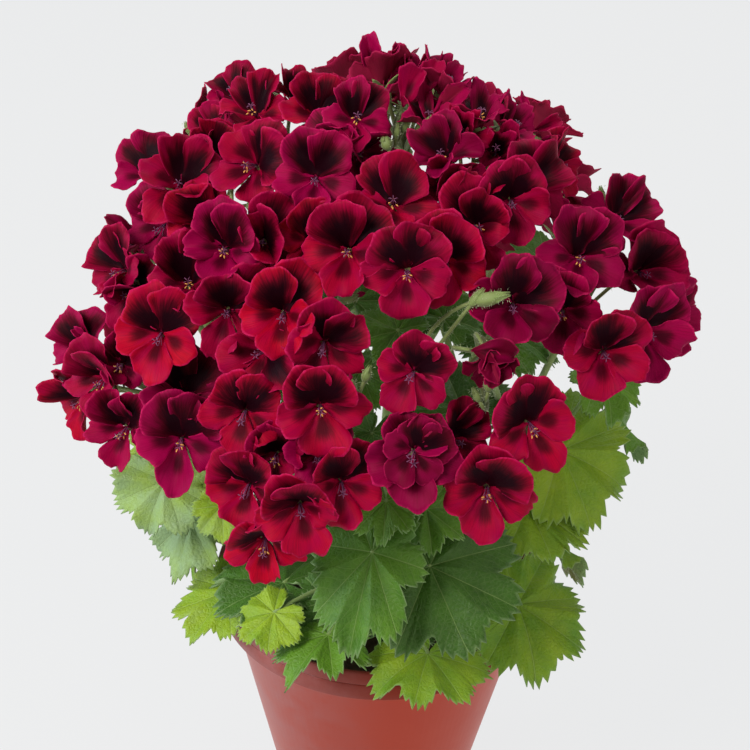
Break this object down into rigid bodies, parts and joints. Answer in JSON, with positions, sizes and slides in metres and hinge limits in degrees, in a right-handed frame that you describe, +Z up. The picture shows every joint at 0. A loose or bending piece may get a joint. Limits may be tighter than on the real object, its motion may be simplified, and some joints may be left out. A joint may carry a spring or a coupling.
{
  "type": "potted regal pelargonium",
  "caption": "Bushy flowering plant in a round plastic pot: a dome of velvety dark red five-petalled flower heads over toothed green leaves.",
  "frame": {"origin": "centre of the pot's flat underside", "axes": "+Z up along the pot's axis; the plant's front faces -Y, its right side as seen from the front is +X"},
  "size_m": [0.262, 0.2899, 0.3894],
  "materials": {
    "pot": "satin moulded terracotta-coloured plastic",
    "soil": "damp crumbly potting soil",
    "foliage": "soft matt leaves with fine hairs",
    "petals": "velvety dark red petals with darker blotches"
  },
  "bodies": {
    "root": {"pot": "pot", "soil": "soil", "shoot_front": "foliage", "shoot_right": "foliage", "shoot_back_right": "foliage", "shoot_back_left": "foliage", "shoot_left": "foliage", "shoot_centre": "foliage", "head_upper_left": "petals", "head_top_left": "petals", "head_top": "petals", "head_peak": "petals", "head_upper_right": "petals", "head_middle": "petals", "head_right": "petals", "head_right_middle": "petals", "head_far_left": "petals", "head_left": "petals", "head_centre_left": "petals", "head_left_edge": "petals", "head_lower_left": "petals", "head_lower_middle": "petals", "head_front_low": "petals", "head_centre": "petals", "head_front_right": "petals", "head_back_low_left": "petals", "head_back_high_left": "petals", "head_back_middle": "petals", "head_back_low": "petals", "head_back_top": "petals", "head_back_high_right": "petals", "head_back_low_right": "petals"}
  },
  "joints": []
}
